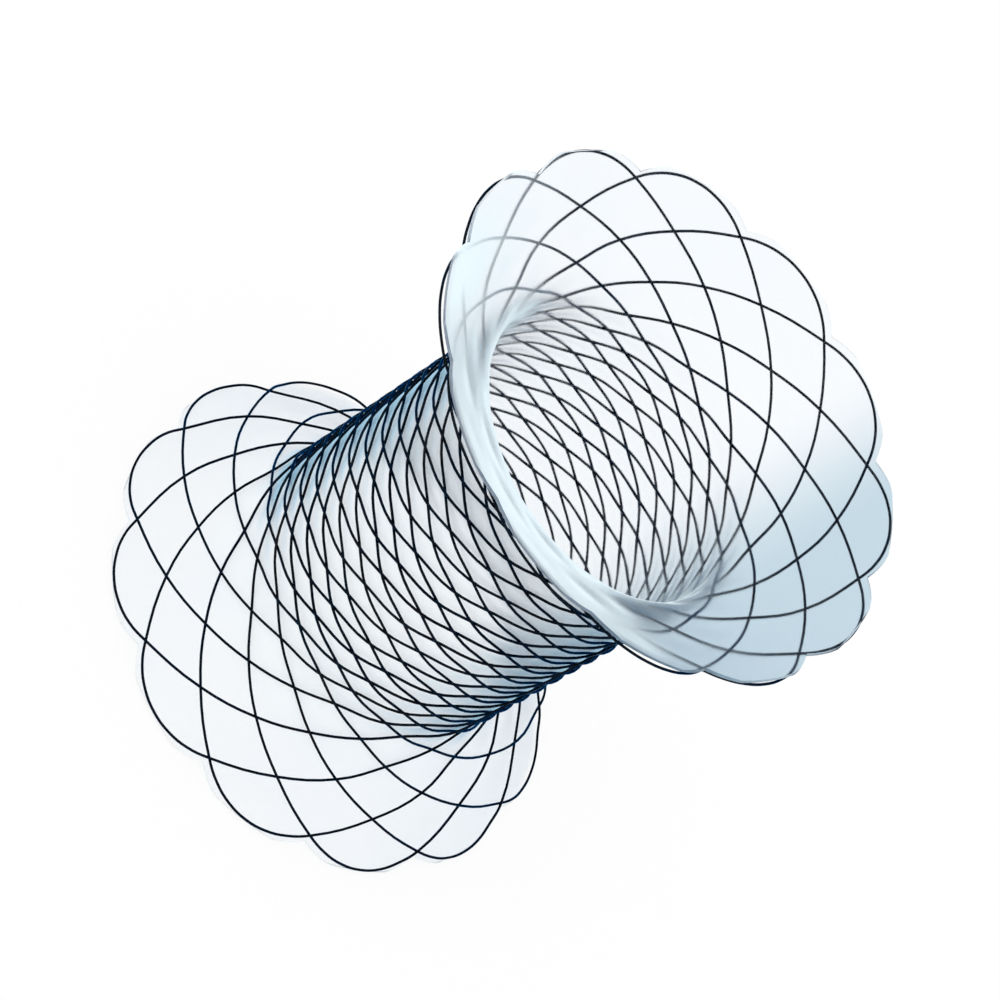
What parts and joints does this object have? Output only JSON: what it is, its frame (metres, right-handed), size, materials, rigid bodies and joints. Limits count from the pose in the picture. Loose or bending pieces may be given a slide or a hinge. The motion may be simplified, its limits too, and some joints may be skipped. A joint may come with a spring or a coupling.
{
  "type": "pseudocyst stent",
  "caption": "Short braided metal drainage stent with a wide petalled trumpet flange at each end and a clear silicone cover, open right through.",
  "frame": {"origin": "middle of the circle on which the lower flange's petal tips stand", "axes": "+Z along the stent's axis, up to the other flange; +X through the tip of an upper petal"},
  "size_m": [0.0268, 0.0268, 0.0275],
  "materials": {
    "nitinol_wire": "satin",
    "clear_silicone": "gloss"
  },
  "bodies": {
    "root": {"wire_frame": "nitinol_wire", "silicone_cover": "clear_silicone"}
  },
  "joints": []
}
